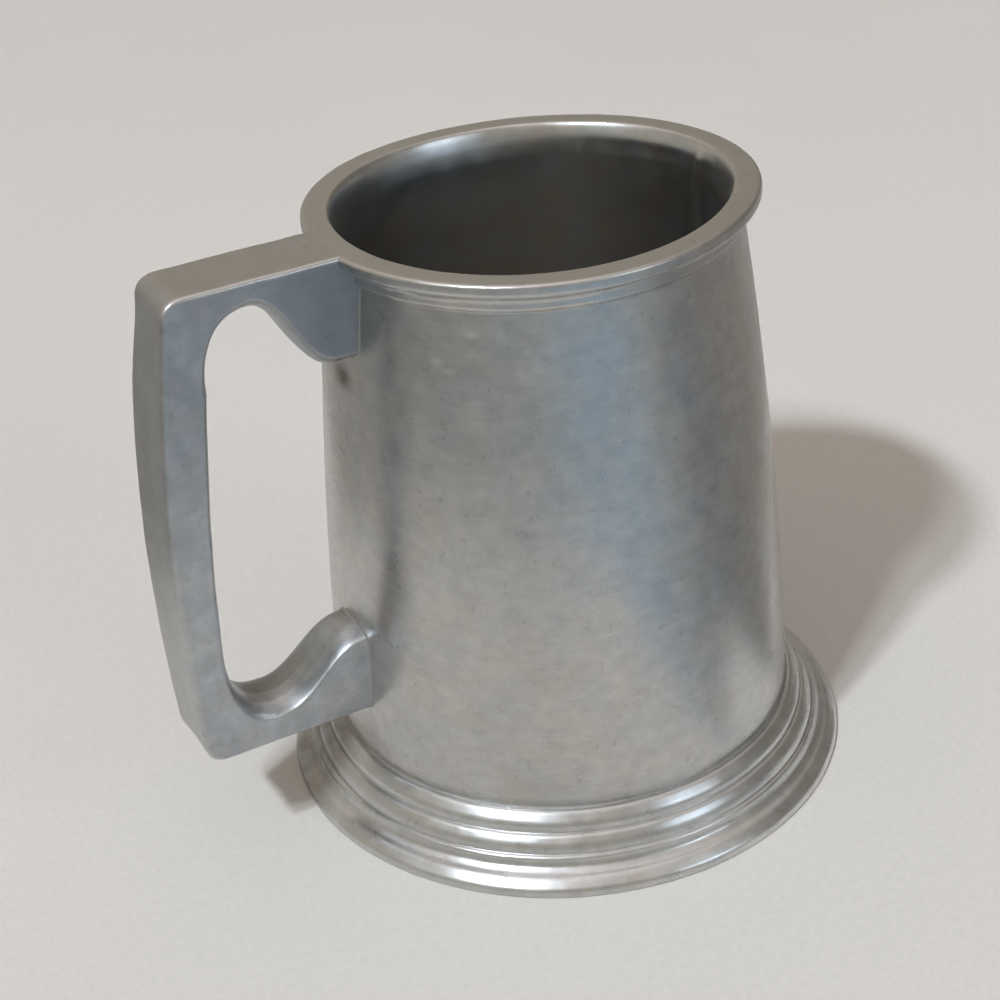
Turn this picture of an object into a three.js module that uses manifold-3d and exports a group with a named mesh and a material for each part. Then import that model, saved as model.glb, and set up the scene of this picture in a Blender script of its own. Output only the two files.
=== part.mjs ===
// Pewter mug: a tapered drum soldered into a stepped foot ring, with a floor disc and a cast handle.
// Millimetres, +Z up, standing on z = 0, with the handle towards -X and the box centred on the origin.

import * as THREE from 'three';
import { mergeVertices } from 'three/addons/utils/BufferGeometryUtils.js';
import Module from 'manifold-3d';

// Drum: wall, lip and the collar under the lip
const mugHeight = 120;
const wallTopRadius = 39.3;
const wallBottomRadius = 46.95;
const wallBulge = 1.3;
const wallThickness = 1.5;
const lipOverhang = 2.55;
const lipThickness = 2.2;
const lipRound = 0.8;
const lipInnerWidth = 1.3;
const lipInnerHeight = 4;
const lipUnderDrop = 1.4;
const collarProud = 0.85;
const collarHeight = 2.8;

// Foot ring: widths and heights of its mouldings, from the wall outwards and from the table up
const footTopWidth = 1;
const beadRound = 1.8;
const bandWidth = 2.4;
const bandRound = 1;
const ridgeProud = 0.9;
const flareWidth = 3.3;
const plinthRound = 1.2;
const plinthHeight = 3.2;
const flareHeight = 2;
const flareHollow = 0.3;
const ridgeHeight = 0.9;
const bandHeight = 3.3;
const beadHeight = 4.5;

// Underside of the foot: the ring it stands on, the recess and the ledge that carries drum and floor
const contactWidth = 3.4;
const recessHeight = 6;
const ledgeThickness = 2;
const ledgeWidth = 4;
const skirtThickness = 2.6;

// Floor disc and the solder in the joints; the hollow of a fillet is a share of its leg
const floorThickness = 1.8;
const jointGap = 0.3;
const floorFillet = 1.6;
const footFillet = 1.3;
const filletHollow = 0.25;
const padThickness = 0.7;
const padMargin = 0.9;

// Handle: a flat-sided casting, drawn as its side outline; the pull is a share of a lug's reach
const handleWidth = 14.6;
const handleEdgeRound = 1;
const fingerDepth = 26.6;
const gripThickness = 7.3;
const gripLean = 3.9;
const gripBow = 1;
const backLean = 5.7;
const backWidestHeight = 55;
const topCornerRound = 4.5;
const bottomCornerRound = 3;
const bottomCornerSetback = 1.2;
const upperArmThickness = 5.8;
const upperLugDepth = 20.7;
const upperLugFlat = 3.4;
const upperLugReach = 18;
const archHeight = 13.7;
const lowerArmHeight = 25.2;
const lowerArmThickness = 6.7;
const lowerLugDepth = 17.2;
const lowerLugFlat = 2.8;
const lowerLugReach = 18.2;
const innerCornerHeight = 12.5;
const innerCornerWidth = 9.5;
const lugCurvePull = 0.36;

// Facets round the turned pieces and along their curves
const turnSegments = 64;
const wallSteps = 8;
const roundSteps = 3;
const handleCurveSteps = 7;
const handleEdgeSteps = 2;

const pewterColour = 0x9a9994;
const handleColour = 0x8d9094;
const solderColour = 0x85837d;
const drumRoughness = 0.42;
const footRoughness = 0.38;
const floorRoughness = 0.5;
const handleRoughness = 0.45;
const solderRoughness = 0.55;

// Levels and radii that follow from the sizes above
const ledgeTop = recessHeight + ledgeThickness;
const drumBase = ledgeTop + jointGap;
const floorTop = drumBase + floorThickness;
const ridgeBottom = plinthHeight + flareHeight;
const bandBottom = ridgeBottom + ridgeHeight;
const beadBottom = bandBottom + bandHeight;
const footTop = beadBottom + beadHeight;
const lipBottom = mugHeight - lipThickness;
const collarTop = lipBottom - lipUnderDrop;
const collarBottom = collarTop - collarHeight;
const wallBottom = footTop + jointGap + footFillet;
const lipRadius = wallTopRadius + collarProud + lipOverhang;
const collarRadius = wallTopRadius + collarProud;

// Outside of the drum's wall: a straight taper with a slight barrel swell
function wallRadius(z) {
  const share = (z - wallBottom) / (collarBottom - wallBottom);
  const taper = THREE.MathUtils.lerp(wallBottomRadius, wallTopRadius, share);
  return taper + 4 * share * (1 - share) * wallBulge;
}

// Inside of the drum's wall: parallel to the outside, and straight behind the lip
function boreRadius(z) {
  return wallRadius(Math.min(z, collarBottom)) - wallThickness;
}

const beadRadius = wallRadius(footTop) + jointGap + footTopWidth + beadRound;
const bandRadius = beadRadius + bandWidth;
const ridgeRadius = bandRadius + ridgeProud;
const footRadius = ridgeRadius + flareWidth + plinthRound;

const gripInside = wallBottomRadius + fingerDepth;
const gripInsideTop = gripInside - gripLean;
const handleReach = gripInside + gripThickness;
const handleTopReach = handleReach - backLean;
const openingTop = mugHeight - upperArmThickness;
const upperLugBottom = mugHeight - upperLugDepth;
const openingBottom = lowerArmHeight + lowerArmThickness;
const lowerLugTop = lowerArmHeight + lowerLugDepth;

const wasm = await Module();
wasm.setup();

function point(r, z) {
  return new THREE.Vector2(r, z);
}

// Points of a quarter turn about (r, z), starting a number of right angles from the outward direction
function quarter(r, z, width, height, start = 0) {
  const from = start * Math.PI / 2;
  return new THREE.EllipseCurve(r, z, width, height, from, from + Math.PI / 2).getPoints(roundSteps);
}

// Points along a wall surface, at equal steps of height
function alongWall(radiusAt, from, to) {
  const points = [];
  for (let i = 0; i <= wallSteps; i += 1) {
    const z = THREE.MathUtils.lerp(from, to, i / wallSteps);
    points.push(point(radiusAt(z), z));
  }
  return points;
}

// A ring turned about +Z from an outline that runs up its outside and down its inside
function turnedRing(outline) {
  const closed = [...outline, outline[0].clone()];
  return new THREE.LatheGeometry(closed, turnSegments).rotateX(Math.PI / 2);
}

// A solid turned about +Z from an outline that starts and ends on the axis
function turnedSolid(outline) {
  return new THREE.LatheGeometry(outline, turnSegments).rotateX(Math.PI / 2);
}

function toManifold(geometry) {
  const bare = geometry.clone();
  bare.deleteAttribute('normal');
  bare.deleteAttribute('uv');
  const welded = mergeVertices(bare);
  const vertProperties = new Float32Array(welded.attributes.position.array);
  const triVerts = new Uint32Array(welded.index.array);
  return new wasm.Manifold(new wasm.Mesh({ numProp: 3, vertProperties, triVerts }));
}

function toGeometry(manifold) {
  const mesh = manifold.getMesh();
  const geometry = new THREE.BufferGeometry();
  geometry.setAttribute('position', new THREE.BufferAttribute(mesh.vertProperties, 3));
  geometry.setIndex(new THREE.BufferAttribute(mesh.triVerts, 1));
  geometry.computeVertexNormals();
  return geometry;
}

function drumGeometry() {
  const lipEdge = quarter(lipRadius - lipRound, mugHeight - lipRound, lipRound, lipRound);
  const insideEdge = boreRadius(mugHeight) + lipInnerWidth;
  const lipInside = quarter(insideEdge, mugHeight - lipInnerHeight, lipInnerWidth, lipInnerHeight, 1);
  return turnedRing([
    ...alongWall(wallRadius, drumBase, collarBottom),
    point(collarRadius, collarBottom),
    point(collarRadius, collarTop),
    point(lipRadius, lipBottom),
    ...lipEdge,
    ...lipInside,
    ...alongWall(boreRadius, collarBottom, drumBase),
  ]);
}

// The mouldings rise from plinth to bead, and the bore follows the drum's wall down to the ledge
function footRingGeometry() {
  const ledgeRadius = boreRadius(drumBase) - ledgeWidth;
  const plinthEdge = quarter(footRadius - plinthRound, plinthHeight - plinthRound, plinthRound, plinthRound);
  const flare = new THREE.QuadraticBezierCurve(
    point(ridgeRadius + flareWidth, plinthHeight),
    point(ridgeRadius + flareHollow * flareWidth, plinthHeight + flareHollow * flareHeight),
    point(ridgeRadius, ridgeBottom),
  ).getPoints(roundSteps).slice(1);
  const bandEdge = quarter(bandRadius - bandRound, beadBottom - bandRound, bandRound, bandRound);
  const beadEdge = quarter(beadRadius - beadRound, footTop - beadRound, beadRound, beadRound);
  return turnedRing([
    point(footRadius - contactWidth, 0),
    point(footRadius, 0),
    ...plinthEdge,
    ...flare,
    point(ridgeRadius, bandBottom),
    point(bandRadius, bandBottom),
    ...bandEdge,
    point(beadRadius, beadBottom),
    ...beadEdge,
    point(wallRadius(footTop) + jointGap, footTop),
    point(wallRadius(ledgeTop) + jointGap, ledgeTop),
    point(ledgeRadius, ledgeTop),
    point(ledgeRadius, recessHeight),
    point(bandRadius - skirtThickness, recessHeight),
  ]);
}

function floorDiscGeometry() {
  return turnedSolid([
    point(0, drumBase),
    point(boreRadius(drumBase) - jointGap, drumBase),
    point(boreRadius(floorTop) - jointGap, floorTop),
    point(0, floorTop),
  ]);
}

// Solder drawn round the inside corner between the floor and the wall
function floorSolderGeometry() {
  const low = floorTop + jointGap;
  const high = low + floorFillet;
  const depth = filletHollow * floorFillet;
  return turnedRing([
    point(boreRadius(low) - jointGap - floorFillet, low),
    point(boreRadius(low) - jointGap, low),
    point(boreRadius(high) - jointGap, high),
    point(boreRadius(high) - jointGap - depth, low + depth),
  ]);
}

// Solder in the crease between the foot's top and the wall
function footSolderGeometry() {
  const low = footTop + jointGap;
  const high = low + footFillet;
  const depth = filletHollow * footFillet;
  return turnedRing([
    point(wallRadius(low) + jointGap, low),
    point(wallRadius(low) + jointGap + footFillet, low),
    point(wallRadius(high) + jointGap + depth, low + depth),
    point(wallRadius(high) + jointGap, high),
  ]);
}

// A thin pad of solder on the wall, between two heights, as wide as the handle and its margin
function solderPad(from, to) {
  const inside = alongWall((z) => wallRadius(z) + jointGap, to, from);
  const outside = alongWall((z) => wallRadius(z) + jointGap + padThickness, from, to);
  const shell = toManifold(turnedRing([...outside, ...inside]));
  const width = handleWidth + 2 * padMargin;
  const block = new THREE.BoxGeometry(2 * wallBottomRadius, width, 2 * mugHeight);
  block.translate(-wallBottomRadius, 0, 0);
  return toGeometry(shell.intersect(toManifold(block)));
}

// Side outline of the handle: outward distance from the drum's axis against height
function handleOutline() {
  const root = boreRadius(collarBottom);
  const upperWall = wallRadius(upperLugBottom);
  const lowerWall = wallRadius(lowerLugTop);
  const archStart = upperWall + upperLugReach;
  const floorStart = lowerWall + lowerLugReach;
  const upperPull = lugCurvePull * upperLugReach;
  const lowerPull = lugCurvePull * lowerLugReach;
  const bottomReach = handleReach - bottomCornerSetback;
  const backMiddle = (mugHeight - topCornerRound + backWidestHeight) / 2;
  const backLow = (backWidestHeight + lowerArmHeight) / 2;
  const gripMiddle = (openingTop - archHeight + openingBottom + innerCornerHeight) / 2;

  const outline = new THREE.Shape();
  outline.moveTo(root, mugHeight);
  outline.lineTo(handleTopReach - topCornerRound, mugHeight);
  outline.quadraticCurveTo(handleTopReach, mugHeight, handleTopReach, mugHeight - topCornerRound);
  outline.quadraticCurveTo(handleReach, backMiddle, handleReach, backWidestHeight);
  outline.quadraticCurveTo(handleReach, backLow, bottomReach, lowerArmHeight + bottomCornerRound);
  outline.quadraticCurveTo(bottomReach, lowerArmHeight, bottomReach - bottomCornerRound, lowerArmHeight);
  outline.lineTo(root, lowerArmHeight);
  outline.lineTo(root, lowerLugTop);
  outline.lineTo(lowerWall + lowerLugFlat, lowerLugTop);
  outline.bezierCurveTo(
    lowerWall + lowerLugFlat + lowerPull, lowerLugTop,
    floorStart - lowerPull, openingBottom,
    floorStart, openingBottom,
  );
  outline.lineTo(gripInside - innerCornerWidth, openingBottom);
  outline.quadraticCurveTo(gripInside, openingBottom, gripInside, openingBottom + innerCornerHeight);
  outline.quadraticCurveTo(gripInside - gripBow, gripMiddle, gripInsideTop, openingTop - archHeight);
  outline.quadraticCurveTo(gripInsideTop, openingTop, archStart, openingTop);
  outline.bezierCurveTo(
    archStart - upperPull, openingTop,
    upperWall + upperLugFlat + upperPull, upperLugBottom,
    upperWall + upperLugFlat, upperLugBottom,
  );
  outline.lineTo(root, upperLugBottom);
  outline.closePath();
  return outline;
}

// The handle's ends are cut to the drum's outside, clear of the lip, the collar and the solder pads
function handleGeometry() {
  const bar = new THREE.ExtrudeGeometry(handleOutline(), {
    depth: handleWidth - 2 * handleEdgeRound,
    curveSegments: handleCurveSteps,
    bevelThickness: handleEdgeRound,
    bevelSize: handleEdgeRound,
    bevelOffset: -handleEdgeRound,
    bevelSegments: handleEdgeSteps,
  });
  bar.translate(0, 0, handleEdgeRound - handleWidth / 2);
  bar.rotateX(Math.PI / 2);
  bar.rotateZ(Math.PI);

  const padGap = padThickness + 2 * jointGap;
  const collarGap = Math.max(collarProud + jointGap, padGap);
  const envelope = turnedSolid([
    point(0, drumBase),
    ...alongWall((z) => wallRadius(z) + padGap, drumBase, collarBottom),
    point(wallTopRadius + collarGap, collarBottom),
    point(wallTopRadius + collarGap, collarTop - jointGap),
    point(lipRadius + jointGap, lipBottom - jointGap),
    point(lipRadius + jointGap, mugHeight + jointGap),
    point(0, mugHeight + jointGap),
  ]);
  return toGeometry(toManifold(bar).subtract(toManifold(envelope)));
}

function pewter(colour, roughness) {
  return new THREE.MeshStandardMaterial({ color: colour, metalness: 1, roughness });
}

const mug = new THREE.Group();
mug.position.x = (handleReach - footRadius) / 2;

function addPiece(name, geometry, material) {
  const mesh = new THREE.Mesh(geometry, material);
  mesh.name = name;
  mug.add(mesh);
}

const solder = pewter(solderColour, solderRoughness);

addPiece('drum', drumGeometry(), pewter(pewterColour, drumRoughness));
addPiece('foot_ring', footRingGeometry(), pewter(pewterColour, footRoughness));
addPiece('floor_disc', floorDiscGeometry(), pewter(pewterColour, floorRoughness));
addPiece('handle', handleGeometry(), pewter(handleColour, handleRoughness));
addPiece('foot_solder_seam', footSolderGeometry(), solder);
addPiece('floor_solder_seam', floorSolderGeometry(), solder);
addPiece('upper_handle_solder', solderPad(upperLugBottom - padMargin, collarBottom - jointGap), solder);
addPiece('lower_handle_solder', solderPad(lowerArmHeight - padMargin, lowerLugTop + padMargin), solder);

export default mug;
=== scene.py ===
"""Pewter mug: a turned drum, foot ring and floor, a cast handle and the solder that joins them."""

import math

import bpy
import numpy as np
from mathutils import Matrix, Vector, noise


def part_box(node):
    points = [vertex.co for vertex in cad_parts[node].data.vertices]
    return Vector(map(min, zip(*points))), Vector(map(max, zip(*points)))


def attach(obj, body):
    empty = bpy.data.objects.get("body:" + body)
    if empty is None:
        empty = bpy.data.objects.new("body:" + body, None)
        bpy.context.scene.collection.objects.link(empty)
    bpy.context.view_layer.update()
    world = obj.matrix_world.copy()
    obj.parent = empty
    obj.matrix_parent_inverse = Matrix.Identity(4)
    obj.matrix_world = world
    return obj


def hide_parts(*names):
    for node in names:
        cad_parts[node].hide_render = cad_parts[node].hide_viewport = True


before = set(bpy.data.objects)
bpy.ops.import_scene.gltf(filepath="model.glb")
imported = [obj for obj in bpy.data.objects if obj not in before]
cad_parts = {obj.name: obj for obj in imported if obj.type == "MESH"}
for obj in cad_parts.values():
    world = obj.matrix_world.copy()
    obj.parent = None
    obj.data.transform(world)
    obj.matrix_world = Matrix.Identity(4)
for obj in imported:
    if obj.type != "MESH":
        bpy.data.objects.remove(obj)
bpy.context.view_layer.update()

# Shapes are worked out in millimetres, and meshes are written in metres
MM = 0.001
drum_low, drum_high = (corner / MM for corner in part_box("drum"))
foot_low, foot_high = (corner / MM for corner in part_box("foot_ring"))
floor_low, floor_high = (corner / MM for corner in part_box("floor_disc"))
handle_low, handle_high = (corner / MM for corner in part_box("handle"))
AXIS_X = (foot_low.x + foot_high.x) / 2

# Drum: wall, lip and the collar under the lip
MUG_HEIGHT = drum_high.z
DRUM_BASE = drum_low.z
WALL_BOTTOM = 15.5
WALL_TOP = 113.6
WALL_BOTTOM_RADIUS = 46.95
WALL_TOP_RADIUS = 39.3
WALL_BULGE = 1.3
WALL_THICKNESS = 1.5
RIM_THICKER = 1.25
RIM_THICK_FROM = 70
COLLAR_CREASE = 0.6
COLLAR_RADIUS = 40.15
COLLAR_TOP = 116.4
LIP_RADIUS = 42.7
LIP_BOTTOM = 117.8
LIP_EDGE_ROUND = 0.9
LIP_INNER_WIDTH = 1.5
LIP_INNER_HEIGHT = 6.5

# Rim pushed out of round: an oval and a three-lobed share, fading to nothing down the wall
OVAL_SIZE = 0.74
OVAL_TURN = math.radians(51.4)
LOBE_SIZE = 0.53
LOBE_TURN = math.radians(59.4)
ROUND_BELOW = 40

# Foot ring
FOOT_RADIUS = (foot_high.x - foot_low.x) / 2
FOOT_TOP = foot_high.z
SHOULDER = FOOT_TOP - 0.85
PLINTH_HEIGHT = 3.2
RIDGE_BOTTOM = 5.2
BAND_BOTTOM = 6.1
BEAD_BOTTOM = 9.4
RIDGE_RADIUS = FOOT_RADIUS - 4.5
BAND_RADIUS = RIDGE_RADIUS - 0.9
BEAD_RADIUS = BAND_RADIUS - 2.4
CONTACT_WIDTH = 3.4
RECESS_HEIGHT = 6
LEDGE_TOP = 8
LEDGE_WIDTH = 4
WALL_OVERLAP = 0.4
SKIRT_THICKNESS = 2.6

# Handle, as distances outward from the drum's axis and heights
HANDLE_WIDTH = handle_high.y - handle_low.y
HANDLE_REACH = AXIS_X - handle_low.x
HANDLE_TOP_REACH = HANDLE_REACH - 5.7
HANDLE_BOTTOM = handle_low.z
GRIP_INSIDE = HANDLE_REACH - 7.3
GRIP_INSIDE_TOP = GRIP_INSIDE - 5.0
GRIP_BOW = 1
BACK_WIDEST = 55
TOP_CORNER = 4.5
BOTTOM_CORNER = 4.2
BOTTOM_SETBACK = 0.5
OPENING_TOP = MUG_HEIGHT - 5.8
OPENING_BOTTOM = HANDLE_BOTTOM + 6.7
ARCH_HEIGHT = 13.7
INNER_CORNER_HEIGHT = 14
UPPER_LUG_BOTTOM = MUG_HEIGHT - 20.7
UPPER_LUG_FLAT = 3.4
UPPER_LUG_REACH = 18
LOWER_LUG_TOP = HANDLE_BOTTOM + 17.2
LOWER_LUG_FLAT = 0.7
LOWER_LUG_REACH = 18.2
LUG_PULL = 0.36
ROOT_DEPTH = 0.75
# The handle's top dips under the lip: drops at the root and just within the lip, and how far within
TOP_ROOT_DROP = 3
TOP_LIP_DROP = 0.1
TOP_LIP_RUN = 1
# The opening side is crowned, and the handle's edges are rounded
CROWN_PROUD = 0.5
CROWN_DROP = 1.1
UPPER_CROWN_DROP = 2.0
FAR_LUG_DROP = 3.4
CROWN_POWER = 2.8
OUTER_EDGE_ROUND = 1.1
FAR_EDGE_ROUND = 0.4
BACK_SKEW = 0.6
INNER_EDGE_ROUND = 0.8

# Uneven metal: lumps that all pieces share, and the finer ones of the castings, as (size, height)
SHARED_LUMPS = ((14, 0.05), (5, 0.035))
CAST_LUMPS = ((9, 0.09), (2.5, 0.03))
SHARED_SEED = 1
SEED_STEPS = (7.31, 3.17, 5.83)

TURN_SEGMENTS = 384


def rise(value, start, end):
    """0 at the start, 1 at the end, and an even change between them."""
    return np.clip((value - start) / (end - start), 0, 1)


def eased(share):
    """A share from 0 to 1 that starts and ends gently."""
    return share * share * (3 - 2 * share)


def hump(across, half_width):
    """1 in the middle, falling off smoothly to both sides."""
    return np.exp(-(across / half_width) ** 2)


def wall_radius(z):
    """Outside of the drum's wall: a straight taper with a slight barrel swell."""
    share = (z - WALL_BOTTOM) / (WALL_TOP - WALL_BOTTOM)
    taper = WALL_BOTTOM_RADIUS + (WALL_TOP_RADIUS - WALL_BOTTOM_RADIUS) * share
    return taper + 4 * share * (1 - share) * WALL_BULGE


def bore_radius(z):
    """Inside of the wall, which thickens towards the rim."""
    thicker = RIM_THICKER * eased(rise(z, RIM_THICK_FROM, WALL_TOP))
    return wall_radius(np.minimum(z, WALL_TOP)) - WALL_THICKNESS - thicker


def rim_push(angle, z):
    """How far the rim is pushed out of round at an angle and a height."""
    share = rise(z, ROUND_BELOW, MUG_HEIGHT)
    oval = OVAL_SIZE * np.sin(2 * angle + OVAL_TURN)
    lobes = LOBE_SIZE * np.sin(3 * angle + LOBE_TURN)
    return (oval + lobes) * share * share


# Outlines
# The most that a rounded corner takes of the shorter side beside it
ROUNDING_SHARE = 0.48


def curve(*places, steps):
    """Points of a smooth curve from the first place to the last, drawn towards those between."""
    t = np.linspace(0, 1, steps + 1)[:, None]
    last = len(places) - 1
    shares = [math.comb(last, k) * t ** k * (1 - t) ** (last - k) for k in range(last + 1)]
    return sum(share * np.array(place, float) for share, place in zip(shares, places))


def softened(corners, steps):
    """A closed outline through (radius, height, rounding) corners, each rounded off by its own amount."""
    points = []
    count = len(corners)
    for i, (r, z, rounding) in enumerate(corners):
        here = np.array((r, z), float)
        if rounding == 0:
            points.append(here)
            continue
        before = np.array(corners[i - 1][:2], float) - here
        after = np.array(corners[(i + 1) % count][:2], float) - here
        shorter = min(np.linalg.norm(before), np.linalg.norm(after))
        reach = min(rounding, ROUNDING_SHARE * shorter)
        start = here + before / np.linalg.norm(before) * reach
        end = here + after / np.linalg.norm(after) * reach
        points.extend(curve(start, here, end, steps=steps))
    return points


def spaced(points, step):
    """The same closed outline with its long stretches divided."""
    out = []
    count = len(points)
    for i in range(count):
        a, b = points[i], points[(i + 1) % count]
        parts = max(1, math.ceil(np.linalg.norm(b - a) / step))
        out.extend(a + (b - a) * k / parts for k in range(parts))
    return np.array(out)


def resampled(points, count):
    """The same line at equal steps of its length."""
    points = np.array(points, float)
    run = np.concatenate([[0], np.cumsum(np.linalg.norm(np.diff(points, axis=0), axis=1))])
    at = np.linspace(0, run[-1], count)
    return np.stack([np.interp(at, run, points[:, k]) for k in (0, 1)], 1)


# Meshes
SHORTEST_EDGE_SQUARED = 1e-6


def noise_at(points, size, seed):
    """Smooth noise between about -1 and 1, with lumps of the given size in millimetres."""
    shift = Vector([seed * step for step in SEED_STEPS])
    return np.array([noise.noise(Vector(p) / size + shift) for p in points])


def lumpy(points, lumps, seed, share=1.0):
    """Points moved a little in all directions, as an uneven cast or hammered surface is."""
    out = np.array(points, float)
    for size, height in lumps:
        for axis in range(3):
            out[:, axis] += share * height * noise_at(points, size, seed + axis)
        seed += 3
    return out


def grid_faces(rows, columns, close_rows=True, close_columns=True):
    """Four-sided faces between the points of a grid, joined round at its ends where it is closed."""
    faces = []
    for i in range(rows if close_rows else rows - 1):
        for j in range(columns if close_columns else columns - 1):
            k, m = (i + 1) % rows, (j + 1) % columns
            faces.append((i * columns + j, k * columns + j, k * columns + m, i * columns + m))
    return faces


def edge_sharpness(mesh):
    """How sharply each vertex stands out (positive) or lies in a hollow (negative), per millimetre."""
    count = len(mesh.vertices)
    co = np.empty(count * 3)
    normals = np.empty(count * 3)
    mesh.vertices.foreach_get("co", co)
    mesh.vertices.foreach_get("normal", normals)
    co = co.reshape(-1, 3) / MM
    normals = normals.reshape(-1, 3)
    ends = np.empty(len(mesh.edges) * 2, int)
    mesh.edges.foreach_get("vertices", ends)
    ends = ends.reshape(-1, 2)
    ends = np.concatenate([ends, ends[:, ::-1]])
    way = co[ends[:, 1]] - co[ends[:, 0]]
    length_squared = np.maximum((way ** 2).sum(1), SHORTEST_EDGE_SQUARED)
    bend = -2 * (way * normals[ends[:, 0]]).sum(1) / length_squared
    total = np.bincount(ends[:, 0], bend, count)
    return total / np.maximum(np.bincount(ends[:, 0], minlength=count), 1)


def placed(name, data):
    """A new object in the scene."""
    made = bpy.data.objects.new(name, data)
    bpy.context.scene.collection.objects.link(made)
    return made


def make_piece(name, points, faces, uneven, material, cad_node, slot, **marks):
    """A smooth piece for a node: its even points, its uneven ones and the marks on its vertices."""
    mesh = bpy.data.meshes.new(name)
    mesh.from_pydata([tuple(p) for p in np.asarray(points) * MM], [], faces)
    mesh.shade_smooth()
    marks["edge"] = edge_sharpness(mesh)
    mesh.vertices.foreach_set("co", (np.asarray(uneven) * MM).astype(np.float32).ravel())
    mesh.update()
    for mark_name, values in marks.items():
        attribute = mesh.attributes.new(mark_name, "FLOAT", "POINT")
        attribute.data.foreach_set("value", np.asarray(values, np.float32).ravel())
    mesh.materials.append(material)
    piece = placed(name, mesh)
    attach(piece, "root")
    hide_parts(cad_node)


def turn_angles(segments):
    """Evenly spaced angles once round the drum's axis."""
    return np.linspace(-math.pi, math.pi, segments, endpoint=False)


def around_axis(r, angle, z):
    """Points at a distance from the drum's axis, an angle and a height."""
    return np.stack(np.broadcast_arrays(AXIS_X + r * np.cos(angle), r * np.sin(angle), z), -1)


def turned(outline, segments=TURN_SEGMENTS, push=None):
    """Points and faces of a ring turned about the drum's axis from a closed outline."""
    angle = turn_angles(segments)[:, None]
    r = np.repeat(outline[None, :, 0], segments, 0)
    z = np.repeat(outline[None, :, 1], segments, 0)
    if push is not None:
        r = r + push(angle, r, z)
    return around_axis(r, angle, z).reshape(-1, 3), grid_faces(segments, len(outline))


# Shader nodes
def node(tree, kind, inputs=None, **settings):
    """A shader node with its settings and inputs: a value is set on a socket, and a socket is linked."""
    made = tree.nodes.new("ShaderNode" + kind)
    for key, value in settings.items():
        setattr(made, key, value)
    for key, value in (inputs or {}).items():
        if isinstance(value, bpy.types.NodeSocket):
            tree.links.new(value, made.inputs[key])
        else:
            made.inputs[key].default_value = value
    return made


def emptied_tree(owner):
    """The node tree of a material, a lamp or the world, emptied."""
    owner.use_nodes = True
    owner.node_tree.nodes.clear()
    return owner.node_tree


def new_material(name):
    """A material and its empty node tree."""
    material = bpy.data.materials.new(name)
    return material, emptied_tree(material)


def ramp(source, stops):
    """A colour ramp through (position, grey or colour) stops."""
    made = node(source.id_data, "ValToRGB", {"Fac": source})
    elements = made.color_ramp.elements
    while len(elements) < len(stops):
        elements.new(0.5)
    for element, (position, colour) in zip(elements, stops):
        element.position = position
        grey = isinstance(colour, (int, float))
        element.color = (colour, colour, colour, 1) if grey else (*colour, 1)
    return made.outputs["Color"]


def noise_socket(tree, where, place, stretch, scale, detail, roughness):
    """Noise between 0 and 1 at coordinates that are stretched and shifted."""
    spot = node(tree, "Mapping", {"Vector": where, "Location": place, "Scale": stretch})
    made = node(tree, "TexNoise", {
        "Vector": spot.outputs["Vector"], "Scale": scale, "Detail": detail, "Roughness": roughness})
    return made.outputs["Fac"]


def mark(tree, name):
    """A mark on the vertices, which reads 0 on a piece without it."""
    return node(tree, "Attribute", attribute_name=name).outputs["Fac"]


def mixed(tree, share, a, b, blend="MIX"):
    """Two colours mixed by a share."""
    made = node(tree, "Mix", data_type="RGBA", blend_type=blend)
    for socket, value in ((made.inputs[0], share), (made.inputs[6], a), (made.inputs[7], b)):
        if isinstance(value, bpy.types.NodeSocket):
            tree.links.new(value, socket)
        else:
            socket.default_value = value if socket.type == "VALUE" else (*value, 1)
    return made.outputs[2]


def maths(tree, operation, a, b):
    """The result of an operation on two values."""
    return node(tree, "Math", {0: a, 1: b}, operation=operation).outputs[0]


def times(a, b):
    """A socket's value multiplied by another value."""
    return maths(a.id_data, "MULTIPLY", a, b)


def mottled(tree, base, source, low, high, swing, strength=1):
    """A colour darkened at a noise's low level and lightened at its high level."""
    tones = ramp(source, [(low, 1 - strength * swing[0]), (high, 1 + strength * swing[1])])
    return mixed(tree, 1.0, base, tones, "MULTIPLY")


# Pewter: its other colours
# Dark colour of specks, stains and grime in hollows, also laid on as painted shade
GRIME_AND_SHADE = (0.10, 0.085, 0.065)
WORN = (0.70, 0.70, 0.69)
# Painted shade for the handle, by its upper lug and up its upper part
PAINTED_SHADE = (0.26, 0.29, 0.32)
CREST = (0.565, 0.555, 0.54)
BARE = (0.95, 0.95, 0.94)
TARNISH_COOL = (0.57, 0.61, 0.63)
TARNISH_WARM = (0.61, 0.565, 0.51)
# Painted bluish reflection of a window, laid on the tarnish inside under the lip
PAINTED_WINDOW_BLUE = (0.52, 0.61, 0.70)
# Noises: place that keeps it apart, stretch, cells per metre, detail and roughness
BLOTCHES = ((0, 0, 0), (1, 1, 1), 210, 4, 0.6)
CLOUDS = ((0.3, 0, 0), (1, 1, 1), 60, 3, 0.55)
GRAIN = ((0, 0, 0), (1, 1, 1), 1700, 2, 0.6)
FINE_SCRATCHES = ((0, 0, 0), (60, 60, 1800), 1, 3, 0.65)
HUE = ((0, 0.2, 0.1), (1, 1, 1), 130, 3, 0.55)
SPECKS = ((0.17, 0.43, 0), (1, 1, 1), 560, 2, 0.45)
FLECKS = ((0.11, 0.07, 0.23), (300, 300, 420), 1, 2, 0.6)
# How far each noise darkens and lightens the metal
CLOUD_SWING = (0.04, 0.03)
BLOTCH_SWING = (0.05, 0.04)
FLECK_SWING = (0.05, 0.05)
# How much of another colour shows where its mark is full
CREST_SHARE = 0.85
SPECK_SHARE = 0.16
WORN_SHARE = 0.5
WORN_BY_POLISH = 2.5
HOLLOW_SHARE = 0.15
# Roughness, and how far it swings with the blotches
CREST_ROUGHNESS = 0.32
INSIDE_ROUGHER = 0.04
SMOOTHER = 0.04
ROUGHER = 0.06
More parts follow.
